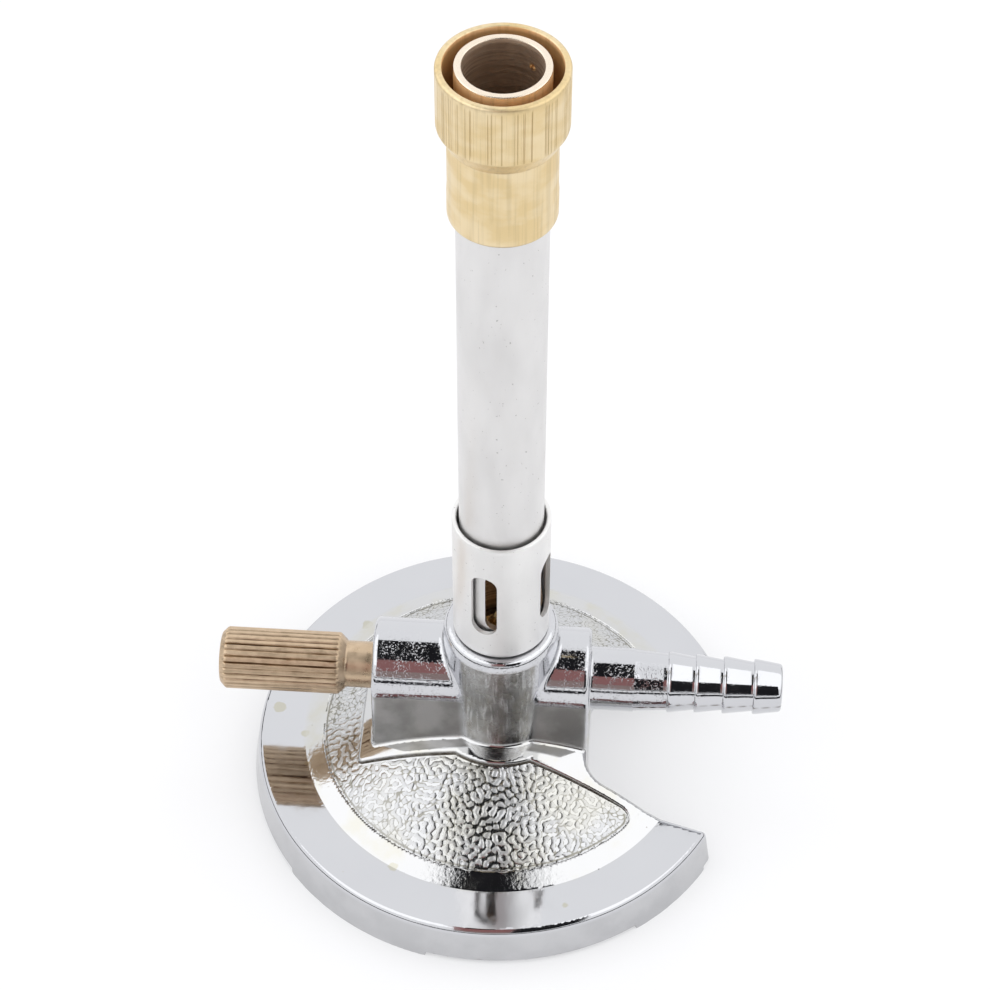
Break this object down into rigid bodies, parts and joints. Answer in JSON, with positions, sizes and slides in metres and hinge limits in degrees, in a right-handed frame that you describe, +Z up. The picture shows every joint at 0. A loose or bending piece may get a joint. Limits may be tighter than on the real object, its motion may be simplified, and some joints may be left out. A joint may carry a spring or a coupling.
{
  "type": "bunsen burner",
  "caption": "Bench gas burner with a chromed cast base, a needle valve with a knurled knob, a hose barb, a barrel with an air sleeve and a brass flame collar.",
  "frame": {"origin": "on the bench, under the axis of the barrel", "axes": "+Z up along the barrel, +X along the valve towards the hose barb, -X towards the knob, -Y towards the front"},
  "size_m": [0.0909, 0.081, 0.15],
  "materials": {
    "chrome_plate": "bright chrome plate on a zinc casting, a little uneven, with a grained panel",
    "satin_nickel": "satin nickel plate on brass tube",
    "satin_nickel_sleeve": "satin nickel plate on brass tube",
    "spring_steel": "plain rolled strip",
    "yellow_brass": "bare turned brass, finely knurled head, brushed neck",
    "jet_brass": "bare turned brass",
    "red_fibre": "pressed fibre",
    "red_brass": "bare turned brass with a straight knurl",
    "black_rubber": "moulded rubber"
  },
  "bodies": {
    "base": {"base_casting": "chrome_plate", "burner_tube": "satin_nickel", "stabiliser_collar": "yellow_brass", "gas_jet": "jet_brass", "jet_washer": "red_fibre"},
    "air_sleeve": {"air_sleeve": "satin_nickel_sleeve", "sleeve_friction_ring": "spring_steel"},
    "valve_slide": {"spindle_o_ring": "black_rubber"},
    "valve_spindle": {"valve_spindle": "red_brass"}
  },
  "joints": [
    {"name": "air_sleeve_turn", "type": "hinge", "parent": "base", "child": "air_sleeve", "pos_m": [0, 0, 0.0494], "axis": [0, 0, 1], "continuous": true},
    {"name": "valve_travel", "type": "slide", "parent": "base", "child": "valve_slide", "axis": [-1, 0, 0], "range_m": [0, 0.00301]},
    {"name": "knob_turn", "type": "hinge", "parent": "valve_slide", "child": "valve_spindle", "pos_m": [-0.035, 0, 0.0235], "axis": [-1, 0, 0], "range_deg": [0, 1080]}
  ],
  "couplings": [
    {"joint": "valve_travel", "follows": "knob_turn", "m_per_rad": 0.00015915}
  ]
}
